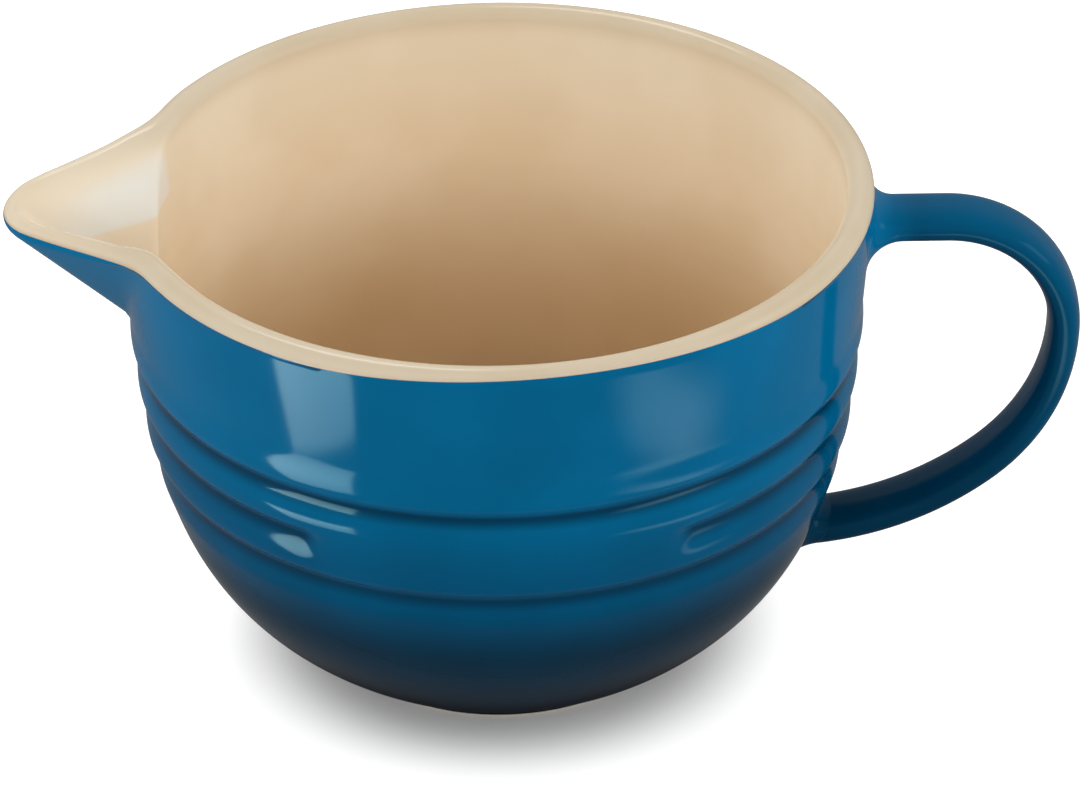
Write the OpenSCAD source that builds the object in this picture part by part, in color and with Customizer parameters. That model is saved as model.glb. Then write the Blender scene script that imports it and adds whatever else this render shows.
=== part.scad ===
// Batter bowl: a stoneware bowl with a pulled pouring spout and a strap handle luted to its wall.
// Millimetres. The origin is the centre of the foot on the table, +Z is up, the handle points to
// +X, the spout to -X, and the front with its plain panel faces -Y.

/* [Bowl] */
// Height from the table to the top of the rim
bowl_h = 136.5; // [128:0.5:145]
// Outside diameter at the rim
rim_d = 195.5; // [185:0.5:205]
// Outside diameter where the belly meets the foot
belly_base_d = 96.5; // [88:0.5:106]
// How far the wall leans in for each unit of depth
wall_lean_share = 0.08; // [0.05:0.01:0.11]
// How late and how tightly the wall turns under into the belly
belly_power = 5.5; // [4:0.1:6.5]
// Thickness of the wall, glaze included, which the rounded rim shares
wall_t = 7; // [5.5:0.5:8]
// Thickness of the floor, glaze included
floor_t = 7.5; // [5.5:0.5:9]
// Height on the outside at which the inside leaves the belly's curve for the floor's curve
floor_curve_h = 17; // [15:0.5:20]
// Thickness of the glaze coats
glaze_t = 0.5; // [0.3:0.1:0.7]

/* [Foot ring] */
// Outside diameter of the unglazed foot ring
foot_d = 92; // [84:0.5:93]
// Width of the ring's flat
foot_w = 5.5; // [4:0.5:8]
// Height from the table to the glazed belly
foot_h = 3; // [2:0.5:4]
// Depth of the recess inside the ring
recess_h = 2.4; // [1.5:0.1:3]
// Chamfer on the ring's edges
foot_edge = 0.6; // [0.4:0.1:1]

/* [Ribs] */
// Depth of the first groove below the rim
groove_drop = 44.6; // [43:0.2:50]
// Spacing of the grooves
groove_pitch = 13.2; // [12:0.2:14]
// Depth of each groove
groove_depth = 1.6; // [0.8:0.1:2]
// Width of a groove's short upper side, which rolls in under the rib above
groove_roll_w = 3.9; // [3:0.1:5]
// Width of a groove's long lower side, which rises to the next rib
groove_rise_w = 9; // [7:0.1:9]
// How far the ribbed band stands out of the wall
rib_rise = 0.7; // [0.3:0.1:1.2]
// Width of the shoulder by which the ribbed band swells out of the wall
rib_shoulder_w = 8; // [6:0.5:9]
// Angle of the plain front panel that interrupts the middle groove
panel_angle = 54; // [40:1:80]
// Angle over which the middle groove runs out at each end of the panel
runout_angle = 5; // [5:1:12]

/* [Spout] */
// How far the spout's tip reaches past the rim
spout_reach = 28.8; // [22:0.2:34]
// Angle between the spout's two sides
spout_angle = 72; // [64:1:80]
// Diameter of the spout's rounded tip, on the outside
spout_tip_d = 36.4; // [30:0.2:40]
// Depth below the rim at which the spout's keel runs into the wall
spout_drop = 36; // [30:0.5:38]
// How far the lip dips towards the spout's tip
spout_dip = 5; // [0:0.5:7]
// Size of the blend between the spout's sides and the wall
spout_blend = 6; // [3:0.5:7]

/* [Handle] */
// Width of the strap
strap_w = 17.6; // [14:0.2:22]
// Thickness of the strap
strap_t = 8.4; // [7:0.2:10]
// Roundness of the strap's section, where 2 is an ellipse and more is squarer
strap_power = 2.6; // [2:0.1:3.5]
// Depth of the strap's level top run below the rim, to its axis
strap_drop = 13.8; // [12:0.2:18]
// Reach of the strap's axis past the rim at its widest
strap_reach = 49.7; // [44:0.5:56]
// Radius of the crook, where the strap turns down
crook_r = 31; // [24:0.5:34]
// Radius of the bow, the outer stretch of the loop
bow_r = 55; // [48:1:60]
// Angle that the bow turns
bow_angle = 50; // [44:1:54]
// Radius of the tail, which runs back to the wall
tail_r = 84; // [76:1:92]
// Angle that the tail turns
tail_angle = 33; // [28:1:36]

/* [Slip joints] */
// Radius of the slip fillet round each root of the strap
joint_r = 8; // [6:0.5:10]
// Rise of the upper fillet over the strap, up to the lip's shoulder
joint_top_rise = 5.4; // [4:0.2:6]
// Thickness at which a slip fillet feathers out on the strap
feather_t = 0.3; // [0.2:0.1:0.5]

/* [Hidden] */

clay = [0.80, 0.72, 0.60];
cream = [0.87, 0.80, 0.68];
blue = [0.00, 0.42, 0.58];

$fn = 90;
seat_facets = 180;
// One overrun serves every cut
over = 4;
lip_r = wall_t / 2;
lip_step = 15;
glaze_line = 30;
front = 270;

// Outer wall as a function of the depth below the rim
belly_depth = bowl_h - foot_h;
belly_base_share = belly_base_d / (rim_d - 2 * wall_lean_share * belly_depth);
belly_close = belly_depth / pow(1 - belly_base_share, 1 / belly_power);
last_groove = groove_drop + 2 * groove_pitch;
middle_groove = groove_drop + groove_pitch;
band_top = groove_drop - groove_roll_w - rib_shoulder_w;

function ramp(x) = let(t = min(max(x, 0), 1)) t * t * (3 - 2 * t);
function plain_r(d) = (rim_d / 2 - wall_lean_share * d) * (1 - pow(d / belly_close, belly_power));
function band(d) = rib_rise * ramp((d - band_top) / rib_shoulder_w)
    * (1 - ramp((d - last_groove) / (2 * rib_shoulder_w)));
function groove_share(x) = let(w = x < 0 ? groove_roll_w : groove_rise_w)
    abs(x) < w ? (1 + cos(180 * x / w)) / 2 : 0;
// Outside of the wall, with a share of the middle groove taken out
function wall_r(d, cut_share = 0) = plain_r(d) + band(d) - groove_depth
    * (groove_share(d - groove_drop) + groove_share(d - last_groove)
        + groove_share(d - middle_groove) * cut_share);

// A point of the wall moved in by t, measured square to the wall: at its own height, or squarely
slope_step = groove_pitch / 100;
function wall_lean(d, cut_share = 0) =
    (wall_r(d - slope_step, cut_share) - wall_r(d + slope_step, cut_share)) / (2 * slope_step);
function plain_lean(d) = (plain_r(d - slope_step) - plain_r(d + slope_step)) / (2 * slope_step);
function square(lean) = sqrt(1 + lean * lean);
function outer_at(d, t, cut_share = 0) =
    [wall_r(d, cut_share) - t * square(wall_lean(d, cut_share)), bowl_h - d];
function inner_at(d, t) = [plain_r(d) - t * square(plain_lean(d)), bowl_h - d];
function inner_in(d, t) = let(lean = plain_lean(d))
    [plain_r(d) - t / square(lean), bowl_h - d + t * lean / square(lean)];

// Depths of the rings from the spout's root down past the ribs, and on down to the foot
ring_split = 6;
band_split = 8;
belly_split = 14;
band_end = last_groove + groove_rise_w;
band_depths = concat(
    [for (i = [1:ring_split]) spout_drop + (groove_drop - spout_drop) * i / ring_split],
    [for (i = [1:2 * band_split]) groove_drop + groove_pitch * i / band_split],
    [for (i = [1:ring_split]) last_groove + groove_rise_w * i / ring_split]);
belly_depths = [for (i = [0:belly_split]) band_end + (belly_depth - band_end) * i / belly_split];
function tail_of(list) = [for (i = [1:len(list) - 1]) list[i]];
function back(list) = [for (i = [len(list) - 1:-1:0]) list[i]];
function band_outer(t) = [for (d = band_depths) outer_at(d, t)];
function band_inner(t) = [for (d = band_depths) inner_at(d, t)];
function belly_outer(t) = [for (d = belly_depths) outer_at(d, t)];

// Inside of the belly: the wall's curve, then one arc that ends level on the floor
floor_split = 8;
floor_turn = atan(1 / plain_lean(bowl_h - floor_curve_h));
function floor_z(t) = recess_h + floor_t - (wall_t - t);
function floor_arc(t) =
    let(join = inner_in(bowl_h - floor_curve_h, t),
        r = (join[1] - floor_z(t)) / (1 - cos(floor_turn)))
    [for (i = [0:floor_split]) let(a = floor_turn * (1 - i / floor_split))
        [join[0] - r * (sin(floor_turn) - sin(a)), floor_z(t) + r * (1 - cos(a))]];
function belly_inner(t) = concat(
    [inner_at(band_end, t)],
    [for (d = tail_of(belly_depths)) if (d < bowl_h - floor_curve_h - over) inner_in(d, t)],
    floor_arc(t),
    [[0, floor_z(t)]]);

// Stations across the wall above the spout's root. Each is [level, inset, rise, order]: level runs
// from 0 at the root to 1 at the lip's centre, inset is measured in from the outside, and rise is
// the height above the lip's centre.
level_split = 7;
function wall_up(inset) = [for (i = [0:level_split]) [i / level_split, inset, 0, i]];
function lip_round(r, from, to) = [for (a = [from:lip_step:to])
    [1, lip_r - r * cos(a), r * sin(a), level_split + a / lip_step]];
top_order = level_split + 180 / lip_step;
function wall_down(inset) = [for (i = [0:level_split])
    [1 - i / level_split, inset, 0, top_order + i]];

body_stations = concat(wall_up(glaze_t), tail_of(lip_round(lip_r - glaze_t, 0, 180)),
    tail_of(wall_down(wall_t - glaze_t)));
outer_stations = concat(wall_up(0), tail_of(lip_round(lip_r, 0, glaze_line)));
outer_back_stations = concat(wall_up(glaze_t), tail_of(lip_round(lip_r - glaze_t, 0, glaze_line)));
liner_stations = concat(lip_round(lip_r, glaze_line, 180), tail_of(wall_down(wall_t)));
liner_back_stations = concat(lip_round(lip_r - glaze_t, glaze_line, 180), tail_of(wall_down(wall_t - glaze_t)));

// Plan of the spout: two straight sides that meet in a round tip, blended into the round wall
spout_half = spout_angle / 2;
spout_span = 32;
span_split = 48;
function smooth_max(a, b, k) = max(a, b)
    + (k > 0 ? pow(max(k - abs(a - b), 0), 2) / (4 * k) : 0);
function beak_r(phi, tip, r) =
    let(turn = atan2(r * cos(spout_half), tip - r + r * sin(spout_half)), c = tip - r)
    phi < turn ? c * cos(phi) + sqrt(r * r - pow(c * sin(phi), 2))
               : (c * sin(spout_half) + r) / cos(phi - 90 + spout_half);
function level_depth(level) = spout_drop + (lip_r - spout_drop) * level;
function spout_r(phi, level, inset) =
    let(r = wall_r(level_depth(level)),
        tip = wall_r(spout_drop) + (rim_d / 2 + spout_reach - wall_r(spout_drop)) * level)
    smooth_max(r - inset, beak_r(abs(phi), tip - inset, spout_tip_d / 2 - inset),
        spout_blend * sqrt(level));
function lip_z(phi) = bowl_h - lip_r - spout_dip * pow(cos(90 * phi / spout_span), 2);
function station_z(phi, s) = (bowl_h - spout_drop) * (1 - s[0]) + lip_z(phi) * s[0] + s[2];
function station_flat(s) = [wall_r(level_depth(s[0])) - s[1], station_z(spout_span, s)];
function station_point(phi, s) = let(r = spout_r(phi, s[0], s[1]))
    [-r * cos(phi), -r * sin(phi), station_z(phi, s)];
function flat(stations) = [for (s = stations) station_flat(s)];

// Solid through equal rings of points, with the first and the last ring capped. Where the order
// falls, a quad is split along its other diagonal, so that coats that touch share their triangles.
module loft(rings, order = []) {
    n = len(rings);
    m = len(rings[0]);
    sides = [for (i = [0:n - 2]) for (j = [0:m - 1])
        let(k = (j + 1) % m, a = i * m + j, b = i * m + k, c = a + m, d = b + m,
            falls = len(order) > 0 && order[k] < order[j])
        each falls ? [[a, b, c], [b, d, c]] : [[a, b, d], [a, d, c]]];
    polyhedron(
        points = [for (ring = rings) each ring],
        faces = concat(sides, [[for (j = [m - 1:-1:0]) j]], [[for (j = [0:m - 1]) (n - 1) * m + j]]));
}

// The spout's share of the wall, from one side of the span to the other. It stands on the turned
// wall a hair inside both edges, so that its straight chords cross no round edge.
root_tuck = 0.05;
module spout_sector(stations) {
    roots = [for (s = stations) if (s[0] == 0) s[1]];
    middle = (roots[0] + roots[1]) / 2;
    tucked = [for (s = stations)
        s[0] == 0 ? [s[0], s[1] + root_tuck * sign(middle - s[1]), s[2], s[3]] : s];
    loft([for (i = [0:span_split]) let(phi = spout_span * (2 * i / span_split - 1))
            [for (s = tucked) station_point(phi, s)]],
        [for (s = stations) s[3]]);
}

// Ties between two insets, across both edges of the sector, that join it to the turned wall at any size
tie_angle = 1;
tie_from_share = 0.3;
tie_to_share = 0.7;
module spout_ties(outer, inner) {
    margin = (inner - outer) / 4;
    for (edge = [-spout_span, spout_span])
        loft([for (phi = [edge - tie_angle, edge + tie_angle])
            [for (s = [[tie_from_share, outer + margin], [tie_to_share, outer + margin],
                    [tie_to_share, inner - margin], [tie_from_share, inner - margin]])
                station_point(phi, [s[0], s[1], 0])]]);
}

// Room for that share in a turned wall
module spout_window() {
    far = rim_d + spout_reach;
    translate([0, 0, bowl_h - spout_drop])
        linear_extrude(height = spout_drop + over)
            polygon([[0, 0],
                [-far * cos(spout_span), -far * sin(spout_span)],
                [-far * cos(spout_span), far * sin(spout_span)]]);
}

// The middle groove as a cut in the turned wall: its section follows the groove between two
// places short of its feathered edges, and then runs straight out. The groove stops at the front
// panel, where it runs out in steps shallower than the glaze, so that the coat over it stays whole.
upper_places = [0.85, 0.56, 0.28];
lower_places = [0, 0.22, 0.43, 0.64, 0.85];
groove_depths = concat(
    [for (share = upper_places) middle_groove - groove_roll_w * share],
    [for (share = lower_places) middle_groove + groove_rise_w * share]);
runout_steps = floor(groove_depth / glaze_t) + 1;
module middle_groove_cut(t) {
    for (i = [1:runout_steps]) {
        half = 180 - panel_angle / 2 - runout_angle * (i - 1) / (runout_steps - 1);
        line = [for (d = groove_depths) outer_at(d, t, i / runout_steps)];
        rotate([0, 0, front + 180 - half])
            rotate_extrude(angle = 2 * half)
                polygon(concat([[rim_d / 2 + over, line[0][1]]], line,
                    [[rim_d / 2 + over, line[len(line) - 1][1]]]));
    }
}

// Everything inside the glaze's face, up to the lip, with the cavity filled
lip_centre = [wall_r(lip_r) - lip_r, bowl_h - lip_r];
module face_form() {
    rotate_extrude()
        polygon(concat([[0, foot_h]], back(belly_outer(0)), tail_of(back(band_outer(0))),
            flat(outer_stations), [lip_centre, [0, lip_centre[1]]]));
}

// Everything inside the glaze's back, which runs on past the coat's two ends
back_profile = concat(back(belly_outer(glaze_t)), tail_of(back(band_outer(glaze_t))),
    flat(outer_back_stations));
module back_form() {
    rotate_extrude()
        polygon(concat([[0, foot_h - over], [back_profile[0][0], foot_h - over]], back_profile,
            [[back_profile[len(back_profile) - 1][0], bowl_h + over], [0, bowl_h + over]]));
}

// Profile of the foot ring and the recess under the floor, from the axis out
foot_profile = [
    [0, recess_h],
    [foot_d / 2 - foot_w - foot_edge, recess_h],
    [foot_d / 2 - foot_w, 0],
    [foot_d / 2 - foot_edge, 0],
    [foot_d / 2, foot_edge],
    [foot_d / 2, foot_h]];

// Stoneware casting: wall, floor, foot ring, spout and ribs, under its glaze
module bowl_body() color(clay) {
    difference() {
        rotate_extrude()
            polygon(concat(foot_profile, back(belly_outer(glaze_t)), tail_of(back(band_outer(glaze_t))),
                flat(body_stations), band_inner(wall_t - glaze_t), tail_of(belly_inner(wall_t - glaze_t))));
        middle_groove_cut(glaze_t);
        spout_window();
    }
    spout_sector(body_stations);
    spout_ties(glaze_t, wall_t - glaze_t);
}

// Cream glaze over the inside, the spout's channel and the lip
module liner_glaze() color(cream) {
    difference() {
        rotate_extrude()
            polygon(concat(flat(liner_stations), band_inner(wall_t), tail_of(belly_inner(wall_t)),
                back(belly_inner(wall_t - glaze_t)), tail_of(back(band_inner(wall_t - glaze_t))),
                back(flat(liner_back_stations))));
        spout_window();
    }
    spout_sector(concat(liner_stations, back(liner_back_stations)));
    spout_ties(wall_t - glaze_t, wall_t);
}

// Blue glaze over the outside, from the lip's shoulder down to the foot
module outer_glaze() color(blue) {
    difference() {
        face_form();
        middle_groove_cut(0);
        difference() {
            back_form();
            middle_groove_cut(glaze_t);
        }
        spout_window();
    }
    spout_sector(concat(outer_stations, back(outer_back_stations)));
}

// Section of the strap: x is its thickness and y its width
section_split = 28;
function power_cos(a, p) = sign(cos(a)) * pow(abs(cos(a)), 2 / p);
function power_sin(a, p) = sign(sin(a)) * pow(abs(sin(a)), 2 / p);
strap_section = [for (i = [0:section_split - 1]) let(a = 360 * i / section_split)
    [strap_t / 2 * power_cos(a, strap_power), strap_w / 2 * power_sin(a, strap_power)]];

// The strap's axis lies in the XZ plane: a level run, then three arcs that follow on smoothly.
// The strap's outer face looks straight up on the level run.
face_up = 90;
strap_z = bowl_h - strap_drop;
widest_x = rim_d / 2 + strap_reach;
crook_x = widest_x - crook_r;
crook_z = strap_z - crook_r;
bow_x = widest_x - bow_r;
tail_x = bow_x + (bow_r - tail_r) * cos(bow_angle);
tail_z = crook_z - (bow_r - tail_r) * sin(bow_angle);
tail_end = bow_angle + tail_angle;
tail_end_x = tail_x + tail_r * cos(tail_end);
tail_end_z = tail_z - tail_r * sin(tail_end);
tail_fall = face_up - tail_end;
// Where the axis meets the wall, at the top and along the tail's last direction
top_wall_x = wall_r(strap_drop);
tail_gap = (tail_end_x - wall_r(bowl_h - tail_end_z)) / cos(tail_fall);
tail_wall_x = tail_end_x - tail_gap * cos(tail_fall);
tail_wall_z = tail_end_z - tail_gap * sin(tail_fall);

// Places along the axis: [x, z, direction of the strap's outer face]
arc_step = 6;
function arc_places(x, z, r, from, to) = let(n = ceil(abs(to - from) / arc_step))
    [for (i = [1:n]) let(a = from + (to - from) * i / n) [x + r * cos(a), z + r * sin(a), a]];
strap_places = concat(
    [[top_wall_x - wall_t, strap_z, face_up], [crook_x, strap_z, face_up]],
    arc_places(crook_x, crook_z, crook_r, face_up, 0),
    arc_places(bow_x, crook_z, bow_r, 0, -bow_angle),
    arc_places(tail_x, tail_z, tail_r, -bow_angle, -tail_end),
    [[tail_end_x - (tail_gap + wall_t) * cos(tail_fall),
        tail_end_z - (tail_gap + wall_t) * sin(tail_fall), -tail_end]]);
module strap() {
    loft([for (place = strap_places)
        [for (p = strap_section)
            [place[0] + p[0] * cos(place[2]), p[1], place[1] + p[0] * sin(place[2])]]]);
}

// Strap handle, trimmed to the glazed wall that its ends seat on
module handle() color(blue) {
    difference() {
        strap();
        face_form($fn = seat_facets);
    }
}

// Flare of slip round the strap. It starts inside the wall and feathers out one radius away, in
// sections that lean as the wall does there.
flare_split = 8;
module collar(x, z, fall, top_rise) {
    lean = atan(wall_lean(bowl_h - z)) - fall;
    translate([x, 0, z])
        rotate([0, fall, 0])
            loft([for (i = [0:flare_split])
                let(s = joint_r * (1 - cos(90 * i / flare_split)),
                    spread = joint_r * (1 - sin(90 * i / flare_split)),
                    rise = spread * top_rise / joint_r)
                [for (p = strap_section)
                    let(tall = (p[0] > 0 ? rise : spread) * cos(lean),
                        thick = p[0] * (1 + 2 * (feather_t + tall) / strap_t))
                    [(i == 0 ? -wall_t : s) + thick * tan(lean),
                        p[1] * (1 + 2 * (feather_t + spread) / strap_w), thick]]]);
}

module upper_collar() collar(top_wall_x, strap_z, 0, joint_top_rise);
module lower_collar() collar(tail_wall_x, tail_wall_z, -tail_fall, joint_r);

// Slip that lutes the strap's top end to the wall
module upper_slip_joint() color(blue) {
    difference() {
        upper_collar();
        strap();
        face_form($fn = seat_facets);
    }
}

// Slip that lutes the strap's bottom end to the wall
module lower_slip_joint() color(blue) {
    difference() {
        lower_collar();
        strap();
        face_form($fn = seat_facets);
    }
}

bowl_body();
liner_glaze();
outer_glaze();
handle();
upper_slip_joint();
lower_slip_joint();
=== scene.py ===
# A glazed stoneware batter bowl with a pulled spout and a strap handle, standing on a pale table.
# Shapes are worked out in millimetres and put into the meshes in metres, in the row frame: the
# origin is the centre of the foot, +Z is up, the handle points to +X and the front faces -Y.
import math

import bpy
import numpy as np
from mathutils import Matrix, Vector


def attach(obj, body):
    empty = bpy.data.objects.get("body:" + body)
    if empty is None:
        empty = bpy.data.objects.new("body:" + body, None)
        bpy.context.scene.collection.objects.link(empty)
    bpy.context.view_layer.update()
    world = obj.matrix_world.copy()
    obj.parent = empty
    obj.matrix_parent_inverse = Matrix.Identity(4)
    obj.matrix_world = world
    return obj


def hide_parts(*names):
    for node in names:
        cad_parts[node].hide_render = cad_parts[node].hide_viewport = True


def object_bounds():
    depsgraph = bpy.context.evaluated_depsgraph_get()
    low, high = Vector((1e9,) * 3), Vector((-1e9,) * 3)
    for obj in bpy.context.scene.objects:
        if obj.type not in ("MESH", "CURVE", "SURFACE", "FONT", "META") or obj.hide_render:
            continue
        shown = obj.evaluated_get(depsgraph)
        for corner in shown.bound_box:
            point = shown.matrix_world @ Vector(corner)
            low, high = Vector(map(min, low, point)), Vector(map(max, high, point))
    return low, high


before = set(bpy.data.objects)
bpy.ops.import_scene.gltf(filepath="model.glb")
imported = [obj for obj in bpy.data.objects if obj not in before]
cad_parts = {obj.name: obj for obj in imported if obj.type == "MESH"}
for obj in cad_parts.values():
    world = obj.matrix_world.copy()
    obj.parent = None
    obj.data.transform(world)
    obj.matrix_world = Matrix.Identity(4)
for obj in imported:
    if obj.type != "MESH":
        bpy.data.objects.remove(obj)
cad_low, cad_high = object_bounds()

MM = 0.001

# Driving sizes of the bowl, as in the part's source
BOWL_H = cad_high[2] / MM
RIM_D = 195.5
BELLY_BASE_D = 96.5
WALL_LEAN = 0.08
BELLY_POWER = 5.5
WALL_T = 7.0
FLOOR_T = 7.5
FLOOR_CURVE_H = 17.0
GLAZE_T = 0.5
LIP_R = WALL_T / 2

# Foot ring
FOOT_D = 92.0
FOOT_W = 5.5
FOOT_H = 3.0
RECESS_H = 2.4
FOOT_EDGE = 0.6

# Ribs: grooves with a short upper side and a long lower side, and a plain panel at the front
GROOVE_DROP = 44.6
GROOVE_PITCH = 13.2
GROOVE_DEPTH = 1.6
GROOVE_ROLL_W = 3.9
GROOVE_RISE_W = 9.0
RIB_RISE = 0.7
RIB_SHOULDER_W = 8.0
PANEL_ANGLE = 54.0
RUNOUT_ANGLE = 5.0
FRONT = 270.0

# Spout, on the bowl's -X side. Its reach and drop are from the wall and the lip, its half angle is
# that of its plan, and its span, side and edge are azimuths in degrees. The round level is where its
# wide inner round ends, on a scale from 0 at its root to 1 at the lip.
SPOUT_REACH = 30.0
SPOUT_HALF = math.radians(36)
SPOUT_TIP_D = 36.4
SPOUT_DROP = 36.0
SPOUT_DIP = 5.0
SPOUT_BLEND = 4.0
SPOUT_CREASE = 1.0
SPOUT_THICKER = 4.0
SPOUT_THICKER_OVER = 12.0
SPOUT_SPAN = 32.0
SPOUT_SIDE = 180.0
SPOUT_EDGE = 14.0
SPOUT_EDGE_W = 8.0
ROUND_LEVEL = 0.6

# Strap handle
STRAP_W = 17.6
STRAP_T = 8.4
STRAP_POWER = 2.6
STRAP_DROP = 13.8
STRAP_REACH = 49.7
CROOK_R = 31.0
BOW_R = 55.0
BOW_ANGLE = 50.0
TAIL_R = 84.0
TAIL_ANGLE = 33.0
JOINT_R = 8.0
JOINT_TOP_R = 5.4

# The blue coat stops this far up the round of the lip, in degrees from level. It wavers by so many
# degrees, in three waves round, of which one is highest at a front azimuth.
GLAZE_LINE = 9.0
GLAZE_WAVER = 21.0
GLAZE_WAVES = 3
GLAZE_HIGH_AT = 283.0

# Number of stations along each stretch of the profile
BELLY_STATIONS = 56
RIB_STATIONS = 124
SPOUT_STATIONS = 29
LIP_STATIONS = 15
INNER_LIP_STATIONS = 32
INSIDE_STATIONS = 72
FLOOR_ARC_STATIONS = 23
FLOOR_STATIONS = 15

# Depth at which the widely spaced stations of the belly give way to the close ones of the ribs
RIBS_FROM = 86.0


def ramp(x):
    """Smooth step from 0 to 1: t squared times (3 - 2 t), with t held between 0 and 1."""
    t = np.clip(x, 0.0, 1.0)
    return t * t * (3 - 2 * t)


belly_depth = BOWL_H - FOOT_H
base_share = BELLY_BASE_D / (RIM_D - 2 * WALL_LEAN * belly_depth)
belly_close = belly_depth / (1 - base_share) ** (1 / BELLY_POWER)
last_groove = GROOVE_DROP + 2 * GROOVE_PITCH
middle_groove = GROOVE_DROP + GROOVE_PITCH
band_top = GROOVE_DROP - GROOVE_ROLL_W - RIB_SHOULDER_W


def plain_r(depth):
    """Radius of the bare wall: a lean in proportion to depth, closed under by a high power."""
    return (RIM_D / 2 - WALL_LEAN * depth) * (1 - (np.abs(depth) / belly_close) ** BELLY_POWER)


def plain_skin(depth, turn):
    """Radius of the bare wall, the same at every turn."""
    return plain_r(depth) + 0 * turn


def groove(off):
    """Depth share of one groove: half a cosine wave on each side, short above and long below."""
    width = np.where(off < 0, GROOVE_ROLL_W, GROOVE_RISE_W)
    return np.where(np.abs(off) < width, (1 + np.cos(np.pi * off / width)) / 2, 0.0)


def wall_r(depth, turn):
    """Outside radius: bare wall, plus the ribbed band's rise, minus three grooves.
    The middle groove fades out by a smooth step at both ends of the front panel."""
    rise = ramp((depth - band_top) / RIB_SHOULDER_W)
    fall = 1 - ramp((depth - last_groove) / (2 * RIB_SHOULDER_W))
    off_front = np.abs((turn - FRONT + 180) % 360 - 180)
    shown = ramp((off_front - PANEL_ANGLE / 2) / RUNOUT_ANGLE)
    cut = (groove(depth - GROOVE_DROP) + groove(depth - last_groove)
           + shown * groove(depth - middle_groove))
    return plain_r(depth) + RIB_RISE * rise * fall - GROOVE_DEPTH * cut


def lean_factor(radius, depth):
    """How much further than square to the wall a level step has to go: the root of 1 + slope^2."""
    slope = np.gradient(radius, depth, axis=-1)
    return np.sqrt(1 + slope * slope)


def smooth_max(a, b, blend):
    """The larger of two values, with a parabola of width 2 x blend between them."""
    near = np.maximum(blend - np.abs(a - b), 0)
    return np.maximum(a, b) + near * near / (4 * np.maximum(blend, 1e-6))


def beak_r(off, tip, r):
    """Distance from the bowl's axis to the spout's plan: a round tip between two straight sides."""
    centre = tip - r
    turn = np.arctan2(r * math.cos(SPOUT_HALF), centre + r * math.sin(SPOUT_HALF))
    round_tip = centre * np.cos(off) + np.sqrt(np.maximum(r * r - (centre * np.sin(off)) ** 2, 0))
    from_side = np.minimum(off, 1.5) - math.pi / 2 + SPOUT_HALF
    side = (centre * math.sin(SPOUT_HALF) + r) / np.cos(from_side)
    return np.where(off < turn, round_tip, side)


def lip_z(turn):
    """Height of the lip's centre: level, with a squared cosine dip towards the spout's tip."""
    off = np.clip(np.abs(turn - SPOUT_SIDE) / SPOUT_SPAN, 0, 1)
    return BOWL_H - LIP_R - SPOUT_DIP * np.cos(off * math.pi / 2) ** 2


def level_depth(level):
    """Depth on the turned wall for a level that runs from 0 at the spout's root to 1 at the lip."""
    return SPOUT_DROP + (LIP_R - SPOUT_DROP) * level


root_r = float(wall_r(np.array([SPOUT_DROP]), SPOUT_SIDE)[0])
spout_run = RIM_D / 2 + SPOUT_REACH - root_r


def spout_height(turn):
    """Height from the spout's root to the lip's centre."""
    return lip_z(turn) - (BOWL_H - SPOUT_DROP)


def on_spout(turn):
    """Share that is 1 on the spout and falls by a smooth step to 0 where it meets the wall."""
    return 1 - ramp((np.abs(turn - SPOUT_SIDE) - SPOUT_EDGE) / SPOUT_EDGE_W)


def lip_lean(turn):
    """Angle by which the lip's round leans with the spout below it: the arctangent of the spout's run
    square to its plan over its height. It is nil on the turned wall."""
    off = np.radians(np.abs(turn - SPOUT_SIDE))
    round_tip = off * (RIM_D / 2 + SPOUT_REACH) / (SPOUT_TIP_D / 2)
    facing = np.minimum(round_tip, math.pi / 2 - SPOUT_HALF)
    return np.arctan(spout_run * np.cos(facing) / spout_height(turn)) * on_spout(turn)


def on_turn(turn, radius, z):
    """Points at an azimuth in degrees, a radius and a height."""
    a = np.radians(turn)
    radius, z, a = np.broadcast_arrays(radius, z, a)
    return np.stack([radius * np.cos(a), radius * np.sin(a), z], axis=-1)


def upper_wall(turn, level, inset, rise=0.0, thicker=0.0, blend=SPOUT_BLEND, skin=wall_r):
    """Points of the wall above the spout's root, as (turns, stations, 3). The radius is the larger of
    the turned wall and the spout's plan, whose tip moves out in proportion to level. The spout's
    sides may be thicker than the inset by a share. The height runs from the root to the lip's
    centre, plus the rise round the lip."""
    turn = turn[:, None]
    level, inset, thicker, blend = np.broadcast_arrays(*np.atleast_2d(level, inset, thicker, blend))
    tip = root_r + spout_run * level
    off = np.abs(turn - SPOUT_SIDE)
    deep = inset + SPOUT_THICKER * thicker * ramp(off / SPOUT_THICKER_OVER)
    beak = beak_r(np.radians(off), tip - deep, SPOUT_TIP_D / 2 - deep)
    plain = skin(level_depth(level), turn) - inset
    spouted = smooth_max(plain, beak, blend * np.sqrt(level))
    radius = np.where(off < SPOUT_SPAN, spouted, plain)
    z = (BOWL_H - SPOUT_DROP) * (1 - level) + lip_z(turn) * level + rise
    return on_turn(turn, radius, z)


def lower_outside(turn, depth, inset):
    """Points of the outside below the spout's root, moved in by the inset square to the wall."""
    r = wall_r(depth[None, :], turn[:, None])
    return on_turn(turn[:, None], r - inset * lean_factor(r, depth), BOWL_H - depth[None, :])


def lip(turn, inset, angles):
    """Points round the lip's outer half: a circle about the lip's centre, by its angle up from
    outside. Its radius shrinks by the cosine of its lean, so that it meets the spout smoothly."""
    r = (LIP_R - inset) * np.cos(lip_lean(turn))[:, None]
    a = np.radians(np.atleast_2d(angles))
    return upper_wall(turn, np.ones_like(a), LIP_R - r * np.cos(a), r * np.sin(a))


def lip_start(turn):
    """Angle on the lip's round, in degrees, at which it leaves the wall: below level by its lean."""
    return -np.degrees(lip_lean(turn))


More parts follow.
